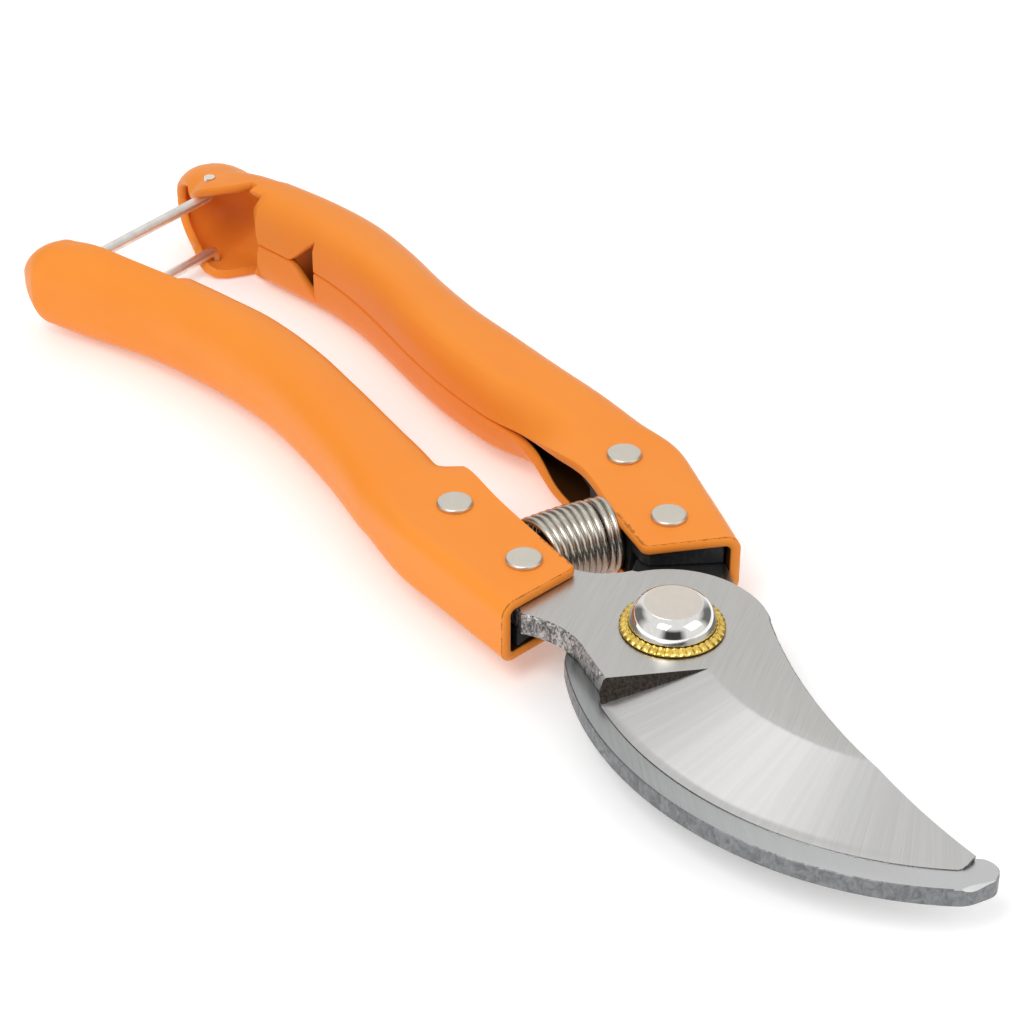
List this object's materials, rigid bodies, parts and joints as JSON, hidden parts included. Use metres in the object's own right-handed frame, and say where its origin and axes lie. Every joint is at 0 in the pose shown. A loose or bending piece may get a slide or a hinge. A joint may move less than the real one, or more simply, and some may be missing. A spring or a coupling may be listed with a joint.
{
  "type": "pruning shears",
  "caption": "Bypass pruning shears: a ground cutting blade passing a hook blade, coated pressed-sheet handles, a coil return spring and a wire latch.",
  "frame": {"origin": "centre of the pivot bolt's flush end, in the plane of the nut's free face, on the pivot axis", "axes": "+X towards the blades' tips, +Y towards the handle of the hook blade, +Z along the pivot axis from the nut to the bolt's head"},
  "size_m": [0.2056, 0.0648, 0.017],
  "materials": {
    "blade_steel": "satin, ground and brushed",
    "hook_steel": "satin, darker on the stamped edge",
    "handle_coating": "smooth semi-gloss orange coating",
    "insert_plastic": "matte black",
    "rivet_steel": "satin nickel",
    "bolt_chrome": "polished dome, brushed flat",
    "washer_brass": "bright gold",
    "nut_steel": "plain zinc",
    "spring_nickel": "nickel plated",
    "latch_wire": "pale nickel plated"
  },
  "bodies": {
    "hook_side": {"hook_blade": "hook_steel", "hook_handle": "handle_coating", "hook_handle_insert": "insert_plastic", "hook_handle_front_rivet": "rivet_steel", "hook_handle_rear_rivet": "rivet_steel", "pivot_bolt": "bolt_chrome", "toothed_washer": "washer_brass", "plain_washer": "nut_steel", "pivot_nut": "nut_steel", "return_spring": "spring_nickel"},
    "blade_side": {"cutting_blade": "blade_steel", "blade_handle": "handle_coating", "blade_handle_insert": "insert_plastic", "blade_handle_front_rivet": "rivet_steel", "blade_handle_rear_rivet": "rivet_steel"},
    "latch": {"latch_bail": "latch_wire"}
  },
  "joints": [
    {"name": "blade_pivot", "type": "hinge", "parent": "hook_side", "child": "blade_side", "pos_m": [0, 0, 0.0085], "axis": [0, 0, 1], "range_deg": [0, 30], "stiffness_Nm_per_rad": 0.6, "springref_deg": 51.57, "deforming": ["return_spring"]},
    {"name": "latch_hinge", "type": "hinge", "parent": "hook_side", "child": "latch", "pos_m": [-0.1366, -0.0084, 0.0085], "axis": [0, 0, 1], "range_deg": [0, 60]}
  ]
}
